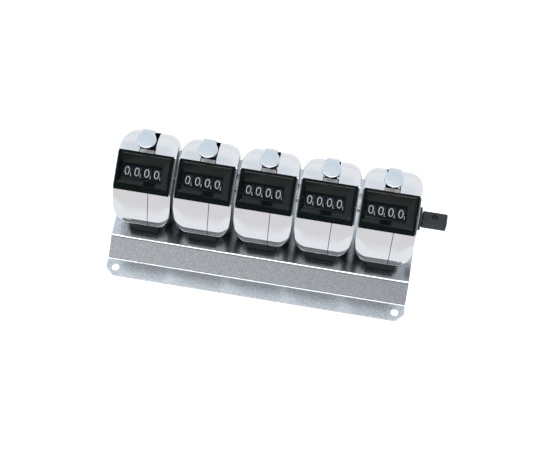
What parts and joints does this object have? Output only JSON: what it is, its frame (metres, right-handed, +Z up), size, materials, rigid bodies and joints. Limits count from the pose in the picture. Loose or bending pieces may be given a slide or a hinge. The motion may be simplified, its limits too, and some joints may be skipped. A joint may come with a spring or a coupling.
{
  "type": "hand tally counter bank",
  "caption": "Row of chrome hand tally counters with thumb levers and number windows, on a folded zinc-plated base with one common reset shaft and knob.",
  "frame": {"origin": "on the surface that the base stands on, under the middle of the whole bank with its reset knob", "axes": "+X towards the reset knob, -Y towards the front, where the windows and thumb levers face, +Z up"},
  "size_m": [0.1616, 0.0784, 0.063],
  "materials": {
    "chrome_case": "bright chrome plate on pressed steel",
    "chrome_lever": "bright plate, faintly blue",
    "bezel_plastic": "semi-gloss black moulding",
    "wheel_black": "satin black with printed white digits",
    "frame_steel": "bare pressed steel",
    "shaft_steel": "ground steel",
    "zinc_plate": "bright zinc plate, faintly blue",
    "knob_black": "black oxide, satin",
    "block_plastic": "matt black"
  },
  "bodies": {
    "base": {"base_plate": "zinc_plate", "shaft_collar": "knob_black", "case_left_1": "chrome_case", "case_right_1": "chrome_case", "bezel_1": "bezel_plastic", "inner_frame_1": "frame_steel", "mounting_block_1": "block_plastic", "case_left_2": "chrome_case", "case_right_2": "chrome_case", "bezel_2": "bezel_plastic", "inner_frame_2": "frame_steel", "mounting_block_2": "block_plastic", "case_left_3": "chrome_case", "case_right_3": "chrome_case", "bezel_3": "bezel_plastic", "inner_frame_3": "frame_steel", "mounting_block_3": "block_plastic", "case_left_4": "chrome_case", "case_right_4": "chrome_case", "bezel_4": "bezel_plastic", "inner_frame_4": "frame_steel", "mounting_block_4": "block_plastic", "case_left_5": "chrome_case", "case_right_5": "chrome_case", "bezel_5": "bezel_plastic", "inner_frame_5": "frame_steel", "mounting_block_5": "block_plastic"},
    "reset_shaft": {"reset_shaft": "shaft_steel", "reset_knob": "knob_black", "knob_set_screw": "shaft_steel"},
    "thumb_lever_1": {"thumb_lever_1": "chrome_lever"},
    "units_wheel_1": {"units_wheel_1": "wheel_black"},
    "tens_wheel_1": {"tens_wheel_1": "wheel_black"},
    "hundreds_wheel_1": {"hundreds_wheel_1": "wheel_black"},
    "thousands_wheel_1": {"thousands_wheel_1": "wheel_black"},
    "transfer_pinion_1": {"transfer_pinion_1": "frame_steel"},
    "thumb_lever_2": {"thumb_lever_2": "chrome_lever"},
    "units_wheel_2": {"units_wheel_2": "wheel_black"},
    "tens_wheel_2": {"tens_wheel_2": "wheel_black"},
    "hundreds_wheel_2": {"hundreds_wheel_2": "wheel_black"},
    "thousands_wheel_2": {"thousands_wheel_2": "wheel_black"},
    "transfer_pinion_2": {"transfer_pinion_2": "frame_steel"},
    "thumb_lever_3": {"thumb_lever_3": "chrome_lever"},
    "units_wheel_3": {"units_wheel_3": "wheel_black"},
    "tens_wheel_3": {"tens_wheel_3": "wheel_black"},
    "hundreds_wheel_3": {"hundreds_wheel_3": "wheel_black"},
    "thousands_wheel_3": {"thousands_wheel_3": "wheel_black"},
    "transfer_pinion_3": {"transfer_pinion_3": "frame_steel"},
    "thumb_lever_4": {"thumb_lever_4": "chrome_lever"},
    "units_wheel_4": {"units_wheel_4": "wheel_black"},
    "tens_wheel_4": {"tens_wheel_4": "wheel_black"},
    "hundreds_wheel_4": {"hundreds_wheel_4": "wheel_black"},
    "thousands_wheel_4": {"thousands_wheel_4": "wheel_black"},
    "transfer_pinion_4": {"transfer_pinion_4": "frame_steel"},
    "thumb_lever_5": {"thumb_lever_5": "chrome_lever"},
    "units_wheel_5": {"units_wheel_5": "wheel_black"},
    "tens_wheel_5": {"tens_wheel_5": "wheel_black"},
    "hundreds_wheel_5": {"hundreds_wheel_5": "wheel_black"},
    "thousands_wheel_5": {"thousands_wheel_5": "wheel_black"},
    "transfer_pinion_5": {"transfer_pinion_5": "frame_steel"}
  },
  "joints": [
    {"name": "reset_shaft_turn", "type": "hinge", "parent": "base", "child": "reset_shaft", "pos_m": [0, -0.0012, 0.0371], "axis": [1, 0, 0], "continuous": true},
    {"name": "thumb_lever_1_press", "type": "hinge", "parent": "base", "child": "thumb_lever_1", "pos_m": [-0.0653, -0.0012, 0.0371], "axis": [1, 0, 0], "range_deg": [0, 15], "stiffness_Nm_per_rad": 0.06, "springref_deg": -28.65},
    {"name": "units_wheel_1_turn", "type": "hinge", "parent": "base", "child": "units_wheel_1", "pos_m": [-0.05953, -0.0012, 0.0371], "axis": [1, 0, 0], "range_deg": [0, 36]},
    {"name": "tens_wheel_1_turn", "type": "hinge", "parent": "base", "child": "tens_wheel_1", "pos_m": [-0.06431, -0.0012, 0.0371], "axis": [1, 0, 0], "continuous": true},
    {"name": "hundreds_wheel_1_turn", "type": "hinge", "parent": "base", "child": "hundreds_wheel_1", "pos_m": [-0.06909, -0.0012, 0.0371], "axis": [1, 0, 0], "continuous": true},
    {"name": "thousands_wheel_1_turn", "type": "hinge", "parent": "base", "child": "thousands_wheel_1", "pos_m": [-0.07387, -0.0012, 0.0371], "axis": [1, 0, 0], "continuous": true},
    {"name": "transfer_pinion_1_turn", "type": "hinge", "parent": "base", "child": "transfer_pinion_1", "pos_m": [-0.0653, -0.00936, 0.02737], "axis": [1, 0, 0], "continuous": true},
    {"name": "thumb_lever_2_press", "type": "hinge", "parent": "base", "child": "thumb_lever_2", "pos_m": [-0.0358, -0.0012, 0.0371], "axis": [1, 0, 0], "range_deg": [0, 15], "stiffness_Nm_per_rad": 0.06, "springref_deg": -28.65},
    {"name": "units_wheel_2_turn", "type": "hinge", "parent": "base", "child": "units_wheel_2", "pos_m": [-0.03003, -0.0012, 0.0371], "axis": [1, 0, 0], "range_deg": [0, 36]},
    {"name": "tens_wheel_2_turn", "type": "hinge", "parent": "base", "child": "tens_wheel_2", "pos_m": [-0.03481, -0.0012, 0.0371], "axis": [1, 0, 0], "continuous": true},
    {"name": "hundreds_wheel_2_turn", "type": "hinge", "parent": "base", "child": "hundreds_wheel_2", "pos_m": [-0.03959, -0.0012, 0.0371], "axis": [1, 0, 0], "continuous": true},
    {"name": "thousands_wheel_2_turn", "type": "hinge", "parent": "base", "child": "thousands_wheel_2", "pos_m": [-0.04437, -0.0012, 0.0371], "axis": [1, 0, 0], "continuous": true},
    {"name": "transfer_pinion_2_turn", "type": "hinge", "parent": "base", "child": "transfer_pinion_2", "pos_m": [-0.0358, -0.00936, 0.02737], "axis": [1, 0, 0], "continuous": true},
    {"name": "thumb_lever_3_press", "type": "hinge", "parent": "base", "child": "thumb_lever_3", "pos_m": [-0.0063, -0.0012, 0.0371], "axis": [1, 0, 0], "range_deg": [0, 15], "stiffness_Nm_per_rad": 0.06, "springref_deg": -28.65},
    {"name": "units_wheel_3_turn", "type": "hinge", "parent": "base", "child": "units_wheel_3", "pos_m": [-0.00053, -0.0012, 0.0371], "axis": [1, 0, 0], "range_deg": [0, 36]},
    {"name": "tens_wheel_3_turn", "type": "hinge", "parent": "base", "child": "tens_wheel_3", "pos_m": [-0.00531, -0.0012, 0.0371], "axis": [1, 0, 0], "continuous": true},
    {"name": "hundreds_wheel_3_turn", "type": "hinge", "parent": "base", "child": "hundreds_wheel_3", "pos_m": [-0.01009, -0.0012, 0.0371], "axis": [1, 0, 0], "continuous": true},
    {"name": "thousands_wheel_3_turn", "type": "hinge", "parent": "base", "child": "thousands_wheel_3", "pos_m": [-0.01487, -0.0012, 0.0371], "axis": [1, 0, 0], "continuous": true},
    {"name": "transfer_pinion_3_turn", "type": "hinge", "parent": "base", "child": "transfer_pinion_3", "pos_m": [-0.0063, -0.00936, 0.02737], "axis": [1, 0, 0], "continuous": true},
    {"name": "thumb_lever_4_press", "type": "hinge", "parent": "base", "child": "thumb_lever_4", "pos_m": [0.0232, -0.0012, 0.0371], "axis": [1, 0, 0], "range_deg": [0, 15], "stiffness_Nm_per_rad": 0.06, "springref_deg": -28.65},
    {"name": "units_wheel_4_turn", "type": "hinge", "parent": "base", "child": "units_wheel_4", "pos_m": [0.02897, -0.0012, 0.0371], "axis": [1, 0, 0], "range_deg": [0, 36]},
    {"name": "tens_wheel_4_turn", "type": "hinge", "parent": "base", "child": "tens_wheel_4", "pos_m": [0.02419, -0.0012, 0.0371], "axis": [1, 0, 0], "continuous": true},
    {"name": "hundreds_wheel_4_turn", "type": "hinge", "parent": "base", "child": "hundreds_wheel_4", "pos_m": [0.01941, -0.0012, 0.0371], "axis": [1, 0, 0], "continuous": true},
    {"name": "thousands_wheel_4_turn", "type": "hinge", "parent": "base", "child": "thousands_wheel_4", "pos_m": [0.01463, -0.0012, 0.0371], "axis": [1, 0, 0], "continuous": true},
    {"name": "transfer_pinion_4_turn", "type": "hinge", "parent": "base", "child": "transfer_pinion_4", "pos_m": [0.0232, -0.00936, 0.02737], "axis": [1, 0, 0], "continuous": true},
    {"name": "thumb_lever_5_press", "type": "hinge", "parent": "base", "child": "thumb_lever_5", "pos_m": [0.0527, -0.0012, 0.0371], "axis": [1, 0, 0], "range_deg": [0, 15], "stiffness_Nm_per_rad": 0.06, "springref_deg": -28.65},
    {"name": "units_wheel_5_turn", "type": "hinge", "parent": "base", "child": "units_wheel_5", "pos_m": [0.05847, -0.0012, 0.0371], "axis": [1, 0, 0], "range_deg": [0, 36]},
    {"name": "tens_wheel_5_turn", "type": "hinge", "parent": "base", "child": "tens_wheel_5", "pos_m": [0.05369, -0.0012, 0.0371], "axis": [1, 0, 0], "continuous": true},
    {"name": "hundreds_wheel_5_turn", "type": "hinge", "parent": "base", "child": "hundreds_wheel_5", "pos_m": [0.04891, -0.0012, 0.0371], "axis": [1, 0, 0], "continuous": true},
    {"name": "thousands_wheel_5_turn", "type": "hinge", "parent": "base", "child": "thousands_wheel_5", "pos_m": [0.04413, -0.0012, 0.0371], "axis": [1, 0, 0], "continuous": true},
    {"name": "transfer_pinion_5_turn", "type": "hinge", "parent": "base", "child": "transfer_pinion_5", "pos_m": [0.0527, -0.00936, 0.02737], "axis": [1, 0, 0], "continuous": true}
  ],
  "couplings": [
    {"joint": "units_wheel_1_turn", "follows": "thumb_lever_1_press", "ratio": 2.4},
    {"joint": "units_wheel_2_turn", "follows": "thumb_lever_2_press", "ratio": 2.4},
    {"joint": "units_wheel_3_turn", "follows": "thumb_lever_3_press", "ratio": 2.4},
    {"joint": "units_wheel_4_turn", "follows": "thumb_lever_4_press", "ratio": 2.4},
    {"joint": "units_wheel_5_turn", "follows": "thumb_lever_5_press", "ratio": 2.4}
  ]
}
